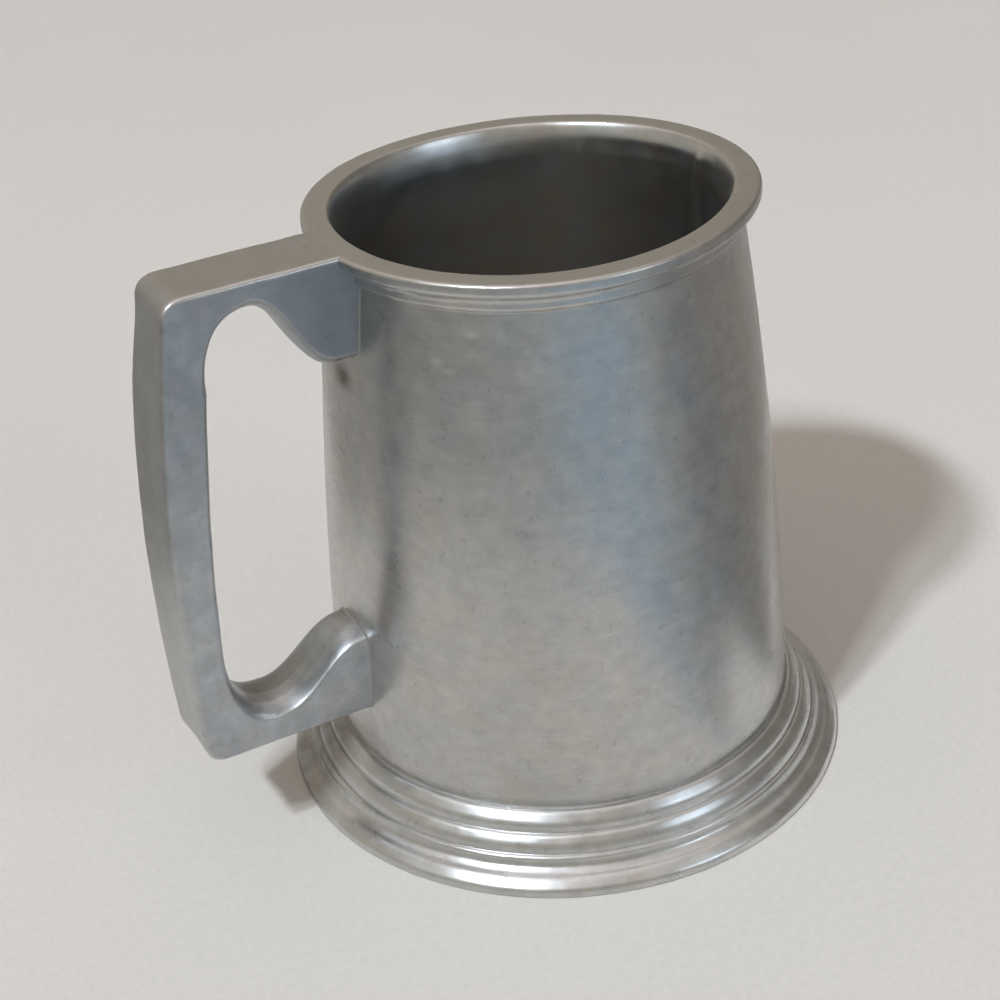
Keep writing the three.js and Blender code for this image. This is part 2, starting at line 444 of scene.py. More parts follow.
# Bump: its depth in metres, its strength, and the heights of what makes it
BUMP_DEPTH = 0.00006
BUMP_STRENGTH = 0.3
GRAIN_HEIGHT = 0.2
SPECK_HEIGHT = 0.05
DING_HEIGHT = 5
# A quarter turn lays the stretched highlight across the turning lines
ACROSS_TURNING = 0.25


def pewter(name, cool, warm, roughness, streaks, mottle=1.0, polish=0.0, turning=0.0):
    """Old pewter: mottled greys, specks, scratches, stains, worn and tarnished parts, grime in hollows,
    painted shade, and a painted bluish window reflection inside.
    """
    material, tree = new_material(name)
    where = node(tree, "TexCoord").outputs["Object"]
    blotches = noise_socket(tree, where, *BLOTCHES)
    clouds = noise_socket(tree, where, *CLOUDS)
    grain = noise_socket(tree, where, *GRAIN)
    scratches = noise_socket(tree, where, *FINE_SCRATCHES)
    hue = noise_socket(tree, where, *HUE)
    specks = noise_socket(tree, where, *SPECKS)
    flecks = noise_socket(tree, where, *FLECKS)
    inside = times(mark(tree, "inside"), ramp(clouds, [(0.3, 0.75), (0.7, 1)]))
    outside = maths(tree, "SUBTRACT", 1.0, inside)
    crest = mark(tree, "crest")
    edge = mark(tree, "edge")

    base = mixed(tree, ramp(hue, [(0.38, 0), (0.62, 1)]), cool, warm)
    base = mottled(tree, base, clouds, 0.3, 0.7, CLOUD_SWING, mottle)
    base = mottled(tree, base, blotches, 0.32, 0.68, BLOTCH_SWING, mottle)
    base = mottled(tree, base, flecks, 0.36, 0.64, FLECK_SWING)
    base = mixed(tree, streaks, base, ramp(scratches, [(0.3, 0.8), (0.7, 1.1)]), "MULTIPLY")

    # Painted shade on the handle by its upper lug and up its upper part
    dull = times(mark(tree, "dull"), ramp(blotches, [(0.35, 0.75), (0.65, 1.15)]))
    speck = times(ramp(specks, [(0.665, 0), (0.74, 1)]), outside)
    worn = ramp(edge, [(0.15, 0), (0.8, WORN_SHARE + WORN_BY_POLISH * polish)])
    worn = times(worn, ramp(blotches, [(0.3, 0.3), (0.6, 1)]))
    tarnish_and_reflection = mixed(tree, ramp(hue, [(0.35, 0), (0.65, 1)]), TARNISH_COOL, TARNISH_WARM)
    # Painted bluish window reflection inside under the lip
    tarnish_and_reflection = mixed(tree, mark(tree, "bloom"), tarnish_and_reflection, PAINTED_WINDOW_BLUE)
    # Real stains on the drum, and painted shade along the foot's top, on the foot under the handle and on
    # the handle
    stain = times(mark(tree, "stain"), ramp(blotches, [(0.35, 0.7), (0.6, 1)]))
    hollow = ramp(times(edge, -1.0), [(0.2, 0), (1, HOLLOW_SHARE)])
    layers = (
        (times(crest, CREST_SHARE), CREST),
        (dull, PAINTED_SHADE),
        (times(speck, SPECK_SHARE), GRIME_AND_SHADE),
        (worn, WORN),
        (mark(tree, "bare"), BARE),
        (inside, tarnish_and_reflection),
        (stain, GRIME_AND_SHADE),
        (hollow, GRIME_AND_SHADE),
    )
    for share, colour in layers:
        base = mixed(tree, share, base, colour)

    rough = node(tree, "MapRange", {
        "Value": blotches, "From Min": 0.3, "From Max": 0.7,
        "To Min": roughness - SMOOTHER, "To Max": roughness + ROUGHER}).outputs["Result"]
    rough = maths(tree, "ADD", rough, times(inside, INSIDE_ROUGHER))
    rough = maths(tree, "ADD", rough, times(crest, CREST_ROUGHNESS - roughness))
    rubbed = ramp(edge, [(0.1, 0), (0.5, 1)])
    rubbed = maths(tree, "MAXIMUM", rubbed, mark(tree, "rubbed"))
    rough = maths(tree, "SUBTRACT", rough, times(rubbed, polish))

    height = maths(tree, "ADD", times(grain, GRAIN_HEIGHT), times(scratches, streaks))
    dings = times(ramp(edge, [(0.15, 0), (0.6, 1)]), specks)
    height = maths(tree, "ADD", height, times(dings, DING_HEIGHT * polish))
    height = maths(tree, "SUBTRACT", height, times(speck, SPECK_HEIGHT))
    bump = node(tree, "Bump", {
        "Height": height, "Strength": BUMP_STRENGTH, "Distance": BUMP_DEPTH}).outputs["Normal"]
    shader = node(tree, "BsdfPrincipled", {
        "Base Color": base, "Metallic": 1.0, "Roughness": rough, "Normal": bump})
    if turning:
        around = node(tree, "Tangent", direction_type="RADIAL", axis="Z").outputs["Tangent"]
        tree.links.new(around, shader.inputs["Tangent"])
        shader.inputs["Anisotropic"].default_value = turning
        shader.inputs["Anisotropic Rotation"].default_value = ACROSS_TURNING
    node(tree, "OutputMaterial", {"Surface": shader.outputs["BSDF"]})
    return material


drum_pewter = pewter("drum_pewter", (0.65, 0.66, 0.66), (0.68, 0.665, 0.64),
                     roughness=0.3, streaks=0.2)
foot_pewter = pewter("foot_pewter", (0.68, 0.705, 0.72), (0.71, 0.715, 0.71),
                     roughness=0.3, streaks=0.12, turning=0.3)
floor_pewter = pewter("floor_pewter", (0.48, 0.475, 0.455), (0.52, 0.50, 0.46),
                      roughness=0.38, streaks=0.1)
handle_pewter = pewter("handle_pewter", (0.515, 0.55, 0.59), (0.55, 0.565, 0.58),
                       roughness=0.46, streaks=0.12, mottle=3, polish=0.1)
solder_pewter = pewter("solder_pewter", (0.44, 0.45, 0.45), (0.46, 0.45, 0.44),
                       roughness=0.6, streaks=0.1)

# Marks on the drum, by azimuth in degrees and height
# Dents: azimuth, height, half length round the wall, half height, depth
DENTS = (
    (-134.4, 109.5, 1.9, 0.6, 0.13),
    (-143.9, 104.0, 1.6, 0.9, 0.12),
    (-140.8, 102.5, 1.8, 0.6, 0.09),
    (-107.1, 91.9, 3.5, 0.5, 0.04),
    (-70.0, 70.0, 2.2, 1.3, 0.08),
    (35.0, 58.0, 2.6, 1.6, 0.10),
    (98.0, 88.0, 1.8, 1.0, 0.10),
    (140.0, 40.0, 2.4, 1.4, 0.09),
)
# The ridge that a dent throws up round it, as a share of its depth
DENT_RIDGE = 0.6
# Stains: azimuth, height, half width, half height, strength
STAINS = ((-179.1, 94.6, 3.2, 2.2, 1), (-126.5, 18.4, 5, 2, 0.12))
# Scratches down to bare metal: azimuth, height, half length, half height, strength
SCRATCHES = (
    (-134.4, 109.5, 1.3, 0.45, 0.9),
    (-143.9, 104.0, 1.1, 0.6, 0.65),
    (-140.8, 102.5, 1.3, 0.4, 0.55),
    (-134.0, 97.2, 2.2, 0.35, 0.25),
    (-127.2, 109.2, 0.7, 1.3, 0.25),
)
# The seam inside runs down from the lip and fades out: azimuth against height
SEAM_HEIGHTS = (75, 106.5, 112.3, 116.7)
SEAM_TURNS = (9, 5.8, 3.6, 2.8)
SEAM_PROUD = 0.45
SEAM_HALF_WIDTH = 0.9
SEAM_RISE = (78, 108)
# The nick on the lip's inner edge
NOTCH_TURN = -7.2
NOTCH_HEIGHT = 118.5
NOTCH_HALF_WIDTH = 1.8
NOTCH_DEPTH = 0.1
# How much of the tarnish is off on the seam and the nick
SEAM_CLEAN = 0.7
# Painted shade on the wall in the crease along the foot's top
FOOT_LINE_SHADE = 0.35
FOOT_LINE_HEIGHT = SHOULDER + 0.5
FOOT_LINE_HALF = 1.1
# The lip's inner roll is uneven: azimuth and half turn in degrees, depth, half depth, shift outward
LIP_SHIFTS = ((90, 25, 9, 6, -0.75), (18, 28, 2.4, 1.3, -0.22))
# A painted bluish reflection of a window inside under the lip: azimuth, half turn, and heights where it
# starts and is full
WINDOW_REFLECTION_TURN = 98
WINDOW_REFLECTION_HALF_TURN = 32
WINDOW_REFLECTION_RISE = (MUG_HEIGHT - 16, MUG_HEIGHT - 7)
# The rubbed crest of lip and handle: heights where it starts and is full
CREST_RISE = (MUG_HEIGHT - 0.8, MUG_HEIGHT - 0.2)
# Distances from the bore at which metal counts as inside and as outside
INSIDE_WITHIN = 0.2
OUTSIDE_PAST = 0.8
# Rows of the drum's outline, which lie closer above the fine height
FINE_HEIGHT = 88
LOW_ROWS = 69
HIGH_ROWS = 58
ROLL_ROWS = 20
BORE_ROWS = 70
BORE_BELOW_ROLL = 1
DRUM_STEP = 1.7
DRUM_ROUND_STEPS = 6


def arc_from(angle, azimuth, radius):
    """Distance round the wall from an azimuth in degrees, the short way."""
    turn = (angle - np.radians(azimuth) + math.pi) % (2 * math.pi) - math.pi
    return turn * radius


def spots(angle, r, z, rows):
    """Soft spots on the wall, from rows of azimuth, height, half width, half height and strength."""
    total = 0
    for azimuth, height, half_width, half_height, strength in rows:
        across = hump(arc_from(angle, azimuth, r), half_width)
        total = total + strength * across * hump(z - height, half_height)
    return total


def inside_share(r, z):
    """1 on the drum's bore and the inner edge of its lip, 0 on its outside."""
    bore = bore_radius(z)
    return rise(r, bore + OUTSIDE_PAST, bore + INSIDE_WITHIN)


def seam_share(angle, r, z):
    """Where the seam runs down inside, and where the nick is on the lip's inner edge."""
    turn = np.interp(z, SEAM_HEIGHTS, SEAM_TURNS)
    seam = hump(arc_from(angle, turn, r), SEAM_HALF_WIDTH) * rise(z, *SEAM_RISE)
    nick = hump(arc_from(angle, NOTCH_TURN, r), NOTCH_HALF_WIDTH)
    return seam, nick * hump(z - NOTCH_HEIGHT, NOTCH_HALF_WIDTH)


def drum_push(angle, r, z):
    """Out-of-round rim, dents on the outside, and the lip's roll, the seam and the nick on the inside."""
    inside = inside_share(r, z)
    push = rim_push(angle, z)
    for azimuth, height, half_length, half_height, depth in DENTS:
        away = (arc_from(angle, azimuth, r) / half_length) ** 2 + ((z - height) / half_height) ** 2
        push = push - (1 - inside) * depth * (1 - DENT_RIDGE * away) * np.exp(-away)
    for azimuth, half_turn, depth, half_depth, shift in LIP_SHIFTS:
        spread = hump(arc_from(angle, azimuth, 1), math.radians(half_turn))
        push = push + inside * shift * spread * hump(MUG_HEIGHT - z - depth, half_depth)
    seam, nick = seam_share(angle, r, z)
    return push + inside * (NOTCH_DEPTH * nick - SEAM_PROUD * seam)


def make_drum():
    """The wall with its collar and lip, from the base up the outside and down the bore."""
    wall_low = np.linspace(DRUM_BASE, FINE_HEIGHT, LOW_ROWS)
    wall_high = np.linspace(FINE_HEIGHT, WALL_TOP - COLLAR_CREASE, HIGH_ROWS)[1:]
    wall = [(wall_radius(z), z, 0) for z in (*wall_low, *wall_high)]
    roll_radius = bore_radius(MUG_HEIGHT) + LIP_INNER_WIDTH
    roll_height = MUG_HEIGHT - LIP_INNER_HEIGHT
    roll = [(roll_radius + LIP_INNER_WIDTH * math.cos(t), roll_height + LIP_INNER_HEIGHT * math.sin(t), 0)
            for t in np.linspace(math.pi / 2, math.pi, ROLL_ROWS)]
    bore_heights = np.linspace(roll_height - BORE_BELOW_ROLL, DRUM_BASE, BORE_ROWS)
    bore = [(bore_radius(z), z, 0) for z in bore_heights]
    corners = [
        *wall,
        (WALL_TOP_RADIUS, WALL_TOP, COLLAR_CREASE),
        (COLLAR_RADIUS, WALL_TOP + 0.7, 0.8),
        (COLLAR_RADIUS, COLLAR_TOP, 1.1),
        (LIP_RADIUS, LIP_BOTTOM, 0.7),
        (LIP_RADIUS, MUG_HEIGHT, LIP_EDGE_ROUND),
        *roll,
        *bore,
    ]
    outline = spaced(softened(corners, DRUM_ROUND_STEPS), DRUM_STEP)
    points, faces = turned(outline, push=drum_push)
    uneven = lumpy(points, SHARED_LUMPS, SHARED_SEED)

    angle = turn_angles(TURN_SEGMENTS)[:, None]
    r, z = outline[None, :, 0], outline[None, :, 1]
    inside = inside_share(r, z) + 0 * angle
    # Painted shade in the crease along the foot's top, added to the real stains
    foot_line = FOOT_LINE_SHADE * hump(z - FOOT_LINE_HEIGHT, FOOT_LINE_HALF)
    stain = (1 - inside) * (spots(angle, r, z, STAINS) + foot_line)
    bare = (1 - inside) * spots(angle, r, z, SCRATCHES)
    crest = rise(z, *CREST_RISE) + 0 * angle
    # Painted bluish window reflection inside under the lip
    bloom = hump(arc_from(angle, WINDOW_REFLECTION_TURN, 1), math.radians(WINDOW_REFLECTION_HALF_TURN))
    bloom = bloom * rise(z, *WINDOW_REFLECTION_RISE)
    tarnished = inside * (1 - SEAM_CLEAN * np.maximum(*seam_share(angle, r, z)))
    make_piece("mug_drum", points, faces, uneven, drum_pewter, "drum", "pewter_drum",
               bloom=bloom, inside=tarnished, stain=stain, crest=crest, bare=bare)


# Painted shadow of the handle on the foot under it, by azimuth in degrees, above a height
FOOT_SHADE = 0.7
FOOT_SHADE_TURN = 168
FOOT_SHADE_HALF = 18
FOOT_SHADE_FADE = 12
FOOT_SHADE_ABOVE = 1
# Steps of the foot's outline, and of its rounded corners
FOOT_STEP = 0.5
FOOT_ROUND_STEPS = 4
# How much of the castings' lumps the turned foot keeps
FOOT_LUMP_SHARE = 0.3


def make_foot_ring():
    """The stepped foot, from its standing ring up the outside and back by the ledge and the recess."""
    ledge_inside = bore_radius(DRUM_BASE) - LEDGE_WIDTH
    # Radius, height and rounding
    corners = [
        (FOOT_RADIUS - CONTACT_WIDTH, 0, 0.5),
        (FOOT_RADIUS, 0, 0.4),
        (FOOT_RADIUS, 0.9, 0.5),
        (FOOT_RADIUS - 0.3, 1.75, 0.6),
        (FOOT_RADIUS - 1.65, PLINTH_HEIGHT - 0.25, 0.5),
        (FOOT_RADIUS - 2.2, PLINTH_HEIGHT + 0.1, 0.4),
        (RIDGE_RADIUS + 1.5, PLINTH_HEIGHT + 0.3, 0.4),
        (RIDGE_RADIUS + 0.42, PLINTH_HEIGHT + 1.1, 0.4),
        (RIDGE_RADIUS + 0.05, RIDGE_BOTTOM, 0.2),
        (RIDGE_RADIUS, BAND_BOTTOM - 0.35, 0.25),
        (RIDGE_RADIUS - 0.35, BAND_BOTTOM, 0.2),
        (BAND_RADIUS, BAND_BOTTOM + 0.05, 0),
        (BAND_RADIUS, BAND_BOTTOM + 0.4, 0.3),
        (BAND_RADIUS - 0.2, BEAD_BOTTOM - 2.2, 0.6),
        (BAND_RADIUS - 0.6, BEAD_BOTTOM - 1.3, 0.6),
        (BAND_RADIUS - 1.45, BEAD_BOTTOM - 0.3, 0.4),
        (BAND_RADIUS - 1.9, BEAD_BOTTOM, 0.3),
        (BEAD_RADIUS, BEAD_BOTTOM, 0),
        (BEAD_RADIUS, BEAD_BOTTOM + 0.6, 0.3),
        (BEAD_RADIUS - 0.12, SHOULDER - 2.25, 0.5),
        (BEAD_RADIUS - 0.5, SHOULDER - 1.55, 0.5),
        (BEAD_RADIUS - 1.6, SHOULDER - 0.35, 0.5),
        (BEAD_RADIUS - 2.1, SHOULDER, 0.4),
        (wall_radius(SHOULDER) - WALL_OVERLAP, SHOULDER, 0),
        (wall_radius(LEDGE_TOP) - WALL_OVERLAP, LEDGE_TOP, 0),
        (ledge_inside, LEDGE_TOP, 0.5),
        (ledge_inside, RECESS_HEIGHT, 0.5),
        (BAND_RADIUS - SKIRT_THICKNESS, RECESS_HEIGHT, 1.2),
    ]
    outline = spaced(softened(corners, FOOT_ROUND_STEPS), FOOT_STEP)
    points, faces = turned(outline)
    uneven = lumpy(lumpy(points, SHARED_LUMPS, SHARED_SEED), CAST_LUMPS, seed=21, share=FOOT_LUMP_SHARE)
    uneven[:, 2] = np.maximum(uneven[:, 2], 0)
    turn = np.degrees(np.arctan2(points[:, 1], points[:, 0] - AXIS_X)) % 360
    # Painted shadow of the handle on the foot
    under_handle = rise(FOOT_SHADE_HALF - np.abs(turn - FOOT_SHADE_TURN), 0, FOOT_SHADE_FADE)
    stain = FOOT_SHADE * eased(under_handle) * (points[:, 2] > FOOT_SHADE_ABOVE)
    make_piece("mug_foot_ring", points, faces, uneven, foot_pewter, "foot_ring", "pewter_foot",
               stain=stain)


# Rings that turning left on the floor's top and underside
TURNING_PITCH = 1.2
TURNING_DEPTH = 0.016
TURNING_STEP = 0.3
FLOOR_SEGMENTS = 192
FLOOR_PLAY = 0.05


def make_floor_disc():
    """The floor: a turned plate whose two faces close on a point in the middle."""
    rim = bore_radius(DRUM_BASE) - FLOOR_PLAY
    radii = np.arange(TURNING_STEP, rim, TURNING_STEP)
    rings = TURNING_DEPTH * np.sin(2 * math.pi * radii / TURNING_PITCH)
    top = np.stack([radii[::-1], floor_high.z + rings[::-1]], 1)
    under = np.stack([radii, floor_low.z + rings], 1)
    outline = np.concatenate([under, [[rim, floor_low.z], [rim, floor_high.z]], top])
    points, _ = turned(outline, FLOOR_SEGMENTS)
    columns = len(outline)
    faces = grid_faces(FLOOR_SEGMENTS, columns, close_columns=False)
    centres = len(points)
    points = np.concatenate([points, [[AXIS_X, 0, floor_low.z], [AXIS_X, 0, floor_high.z]]])
    for i in range(FLOOR_SEGMENTS):
        k = (i + 1) % FLOOR_SEGMENTS
        faces.append((centres, k * columns, i * columns))
        faces.append((centres + 1, i * columns + columns - 1, k * columns + columns - 1))
    uneven = lumpy(points, SHARED_LUMPS[:1], seed=41)
    make_piece("mug_floor_disc", points, faces, uneven, floor_pewter, "floor_disc", "pewter_floor")


# Handle: stations along its lines, and steps of the curves that these follow
UPPER_STATIONS = 44
ARCH_STATIONS = 40
GRIP_STATIONS = 64
CORNER_STATIONS = 60
LOWER_STATIONS = 40
BACK_CORNER_STEPS = 20
BACK_UPPER_STEPS = 80
BACK_LOWER_STEPS = 40
LUG_STEPS = 30
ARCH_STEPS = 40
GRIP_STEPS = 60
INNER_CORNER_STEPS = 60
# Stations past the upper lug where the crown has settled, and where the back's lean starts and is full
CROWN_SETTLES = 20
SKEW_FROM = 24
SKEW_FULL = 38
# Stations before the lower lug where the lean eases, and what is left of it there
SKEW_EASES = 10
SKEW_LEFT = 0.7
# Stations before the lower root where the far side's drop is full
FAR_DROP_FULL = 6
# Points of half a loop round the handle
OPENING_POINTS = 14
OPENING_SHARE = 0.93
EDGE_STEPS = 5
SIDE_POINTS = 18
BACK_POINTS = 8
# Columns of a whole loop: its back, its rubbed opening side, and where painted shade lies in the opening
BACK_COLUMNS = slice(40, 55)
RUBBED_COLUMNS = 17
FAR_SHADE_COLUMNS = 20
NEAR_SHADE_COLUMNS = 6
# The lumps of the casting grow to their full height over this distance from the lip
LUMPS_GROW = 6
# Painted shade by the upper lug, where the drum shades the handle, and fainter painted shade over the
# whole upper part: where each starts and is full
LUG_SHADE = 0.57
LUG_SHADE_REACHES = (62, 46)
LUG_SHADE_HEIGHTS = (86, 100)
UPPER_SHADE = 0.16
UPPER_SHADE_HEIGHTS = (60, 85)
# Painted shade under the handle, and heights where it starts and is full
UNDER_SHADE = 0.15
UNDER_SHADE_HEIGHTS = (HANDLE_BOTTOM + 0.9, HANDLE_BOTTOM + 0.3)
# Painted shade in the opening's lower corner and along the lower lug's far side: share by stations past
# the start of the corner and of the lower lug
CORNER_SHADE = 0.76
CORNER_SHADE_RUN = ((-4, 0), (14, 1))
LUG_RAMP_SHADE_RUN = ((0, 0.75), (22, 0.1))
# Wear of the handle's back, as a share of the crest's
BACK_WEAR = 0.55


def handle_lines():
    """Inner and outer lines of the handle's side, by stations from the upper lug to the lower one."""
    upper_wall = wall_radius(UPPER_LUG_BOTTOM)
    lower_wall = wall_radius(LOWER_LUG_TOP)
    upper_flat = upper_wall + UPPER_LUG_FLAT
    lower_flat = lower_wall + LOWER_LUG_FLAT
    arch_start = upper_wall + UPPER_LUG_REACH
    floor_start = lower_wall + LOWER_LUG_REACH
    upper_pull = LUG_PULL * UPPER_LUG_REACH
    lower_pull = LUG_PULL * LOWER_LUG_REACH
    arch_foot = OPENING_TOP - ARCH_HEIGHT
    corner_top = OPENING_BOTTOM + INNER_CORNER_HEIGHT
    bottom_reach = HANDLE_REACH - BOTTOM_SETBACK
    back_top = MUG_HEIGHT - TOP_CORNER
    back_bottom = HANDLE_BOTTOM + BOTTOM_CORNER

    back = np.concatenate([
        curve((HANDLE_TOP_REACH - TOP_CORNER, MUG_HEIGHT), (HANDLE_TOP_REACH, MUG_HEIGHT),
              (HANDLE_TOP_REACH, back_top), steps=BACK_CORNER_STEPS),
        curve((HANDLE_TOP_REACH, back_top), (HANDLE_REACH, (back_top + BACK_WIDEST) / 2),
              (HANDLE_REACH, BACK_WIDEST), steps=BACK_UPPER_STEPS),
        curve((HANDLE_REACH, BACK_WIDEST), (HANDLE_REACH, (BACK_WIDEST + HANDLE_BOTTOM) / 2),
              (bottom_reach, back_bottom), steps=BACK_LOWER_STEPS),
        curve((bottom_reach, back_bottom), (bottom_reach, HANDLE_BOTTOM),
              (bottom_reach - BOTTOM_CORNER, HANDLE_BOTTOM), steps=BACK_CORNER_STEPS),
    ])

    def back_at(z):
        """How far out the back is at a height."""
        return np.interp(z, back[::-1, 1], back[::-1, 0])

    root = WALL_TOP_RADIUS - ROOT_DEPTH
    lip_flat = LIP_RADIUS - LIP_EDGE_ROUND
    upper_in = resampled(np.concatenate([
        [(root, UPPER_LUG_BOTTOM), (upper_flat, UPPER_LUG_BOTTOM)],
        curve((upper_flat, UPPER_LUG_BOTTOM), (upper_flat + upper_pull, UPPER_LUG_BOTTOM),
              (arch_start - upper_pull, OPENING_TOP), (arch_start, OPENING_TOP), steps=LUG_STEPS)[1:],
    ]), UPPER_STATIONS)
    dips = np.interp(upper_in[:, 0], [root, lip_flat - TOP_LIP_RUN, lip_flat],
                     [TOP_ROOT_DROP, TOP_LIP_DROP, 0])
    upper_out = np.stack([upper_in[:, 0], MUG_HEIGHT - dips], 1)
    arch_in = resampled(curve((arch_start, OPENING_TOP), (GRIP_INSIDE_TOP, OPENING_TOP),
                              (GRIP_INSIDE_TOP, arch_foot), steps=ARCH_STEPS), ARCH_STATIONS)
    above = back[back[:, 1] > arch_foot]
    arch_out = [(arch_start, MUG_HEIGHT), *above, (back_at(arch_foot), arch_foot)]
    arch_out = resampled(arch_out, ARCH_STATIONS)
    grip_in = resampled(curve((GRIP_INSIDE_TOP, arch_foot),
                              (GRIP_INSIDE - GRIP_BOW, (arch_foot + corner_top) / 2),
                              (GRIP_INSIDE, corner_top), steps=GRIP_STEPS), GRIP_STATIONS)
    grip_out = np.stack([back_at(grip_in[:, 1]), grip_in[:, 1]], 1)
    corner_in = resampled(curve((GRIP_INSIDE, corner_top), (GRIP_INSIDE, OPENING_BOTTOM),
                                (floor_start, OPENING_BOTTOM), steps=INNER_CORNER_STEPS), CORNER_STATIONS)
    below = back[back[:, 1] < corner_top]
    corner_out = [(back_at(corner_top), corner_top), *below, (floor_start, HANDLE_BOTTOM)]
    corner_out = resampled(corner_out, CORNER_STATIONS)
    lower_in = resampled(np.concatenate([
        curve((floor_start, OPENING_BOTTOM), (floor_start - lower_pull, OPENING_BOTTOM),
              (lower_flat + lower_pull, LOWER_LUG_TOP), (lower_flat, LOWER_LUG_TOP), steps=LUG_STEPS),
        [(lower_wall - ROOT_DEPTH, LOWER_LUG_TOP)],
    ]), LOWER_STATIONS)
    lower_out = np.stack([lower_in[:, 0], np.full(len(lower_in), HANDLE_BOTTOM)], 1)
    inner = [upper_in, arch_in[1:], grip_in[1:], corner_in[1:], lower_in[1:]]
    outer = [upper_out, arch_out[1:], grip_out[1:], corner_out[1:], lower_out[1:]]
    return np.concatenate(inner), np.concatenate(outer)


def crown(across, drop):
    """Rise of the opening side above its nominal line, over -1 to 1 across the width."""
    return CROWN_PROUD - (CROWN_PROUD + drop) * np.abs(across) ** CROWN_POWER


def half_loop(thickness, drop, edge_round, skew=0.0):
    """Half of the handle cut across, from the middle of the opening side to the middle of the back."""
    half = HANDLE_WIDTH / 2
    across = np.linspace(0, OPENING_SHARE, OPENING_POINTS)
    opening = np.stack([-crown(across, drop), across * half], 1)
    edge = -crown(1.0, drop)
    inner_edge = curve(opening[-1], (edge, half), (edge + INNER_EDGE_ROUND, half), steps=EDGE_STEPS)
    outer = thickness + skew
    outer_edge = curve((outer - edge_round, half), (outer, half),
                       (outer, half - edge_round), steps=EDGE_STEPS)
    side = np.linspace(inner_edge[-1], outer_edge[0], SIDE_POINTS)
    back = np.linspace(outer_edge[-1], (thickness, 0), BACK_POINTS)
    return np.concatenate([opening[:-1], inner_edge, side[1:-1], outer_edge, back[1:]])


def handle_loop(thickness, near_drop, far_drop, skew=0.0):
    """The handle cut across, as a closed loop: (distance out from the inner line, place across)."""
    near = half_loop(thickness, near_drop, OUTER_EDGE_ROUND) * (1, -1)
    return np.concatenate([half_loop(thickness, far_drop, FAR_EDGE_ROUND, skew), near[-2:0:-1]])


def handle_rings(inner, outer):
    """Loops of points round the handle, kept out of the drum's inside, and the share of painted shade
    along it.
    """
    count = len(inner)
    stations = np.arange(count)
    lug_start = count - LOWER_STATIONS
    corner_start = lug_start - CORNER_STATIONS
    near_drops = np.interp(stations, [UPPER_STATIONS, UPPER_STATIONS + CROWN_SETTLES],
                           [UPPER_CROWN_DROP, CROWN_DROP])
    far_drops = near_drops + np.interp(stations, [lug_start, count - FAR_DROP_FULL],
                                       [0, FAR_LUG_DROP - CROWN_DROP])
    skews = np.interp(stations, [UPPER_STATIONS + SKEW_FROM, UPPER_STATIONS + SKEW_FULL,
                                 corner_start, lug_start - SKEW_EASES, lug_start],
                      [0, BACK_SKEW, BACK_SKEW, SKEW_LEFT * BACK_SKEW, 0])
    rings = []
    for a, b, near_drop, far_drop, skew in zip(inner, outer, near_drops, far_drops, skews):
        thickness = np.linalg.norm(b - a)
        way = (b - a) / thickness
        loop = handle_loop(thickness, near_drop, far_drop, skew)
        reach = a[0] + way[0] * loop[:, 0]
        height = a[1] + way[1] * loop[:, 0]
        behind = wall_radius(np.minimum(height, WALL_TOP)) - ROOT_DEPTH
        reach = np.maximum(reach, np.sqrt(behind ** 2 - loop[:, 1] ** 2))
        rings.append(np.stack([AXIS_X - reach, loop[:, 1], height], 1))
    run = [(corner_start + past, share) for past, share in CORNER_SHADE_RUN]
    run += [(lug_start + past, share) for past, share in LUG_RAMP_SHADE_RUN]
    return rings, np.interp(stations, *zip(*run))


def make_handle():
    """The handle: its loops joined along, each end closed on a point inside the wall."""
    rings, shade_along = handle_rings(*handle_lines())
    columns = len(rings[0])
    points = np.concatenate(rings)
    faces = grid_faces(len(rings), columns, close_rows=False)
    for ring, turn in ((0, 1), (len(rings) - 1, -1)):
        loop = [ring * columns + j for j in range(columns)][::turn]
        middle = len(points)
        points = np.concatenate([points, points[loop].mean(0)[None]])
        faces.extend((middle, loop[j], loop[(j + 1) % columns]) for j in range(columns))
    reach = AXIS_X - points[:, 0]
    height = points[:, 2]
    free = rise(reach, LIP_RADIUS, LIP_RADIUS + LUMPS_GROW)
    uneven = lumpy(lumpy(points, SHARED_LUMPS, SHARED_SEED), CAST_LUMPS, seed=61, share=free)

    def by_ring(values):
        """The same values by ring and column, without the two end points."""
        return values[:len(rings) * columns].reshape(-1, columns)

    crest = rise(height, *CREST_RISE)
    back_crest = by_ring(crest)[:, BACK_COLUMNS]
    back_crest[:] = np.maximum(back_crest, BACK_WEAR)
    near_lug = rise(reach, *LUG_SHADE_REACHES) * rise(height, *LUG_SHADE_HEIGHTS)
    upper = rise(height, *UPPER_SHADE_HEIGHTS)
    # Painted shade on the handle: darker by the upper lug and up the upper part, fading out on the crest
    # at the top
    dull = (LUG_SHADE * near_lug + UPPER_SHADE * upper) * (1 - crest)
    # Painted shade along the handle's underside
    stain = UNDER_SHADE * rise(height, *UNDER_SHADE_HEIGHTS)
    # Painted shade in the opening's lower corner and along the lower lug, full on the far side and half
    # on the near side
    far_stain = by_ring(stain)[:, :FAR_SHADE_COLUMNS]
    far_stain[:] = np.maximum(far_stain, CORNER_SHADE * shade_along[:, None])
    near_stain = by_ring(stain)[:, -NEAR_SHADE_COLUMNS:]
    near_stain[:] = np.maximum(near_stain, CORNER_SHADE / 2 * shade_along[:, None])
    rubbed = np.zeros(len(points))
    by_ring(rubbed)[:, :RUBBED_COLUMNS] = 1
    by_ring(rubbed)[:, 1 - RUBBED_COLUMNS:] = 1
    make_piece("mug_handle", points, faces, uneven, handle_pewter, "handle", "pewter_handle",
               crest=crest, rubbed=rubbed, stain=stain, dull=dull)


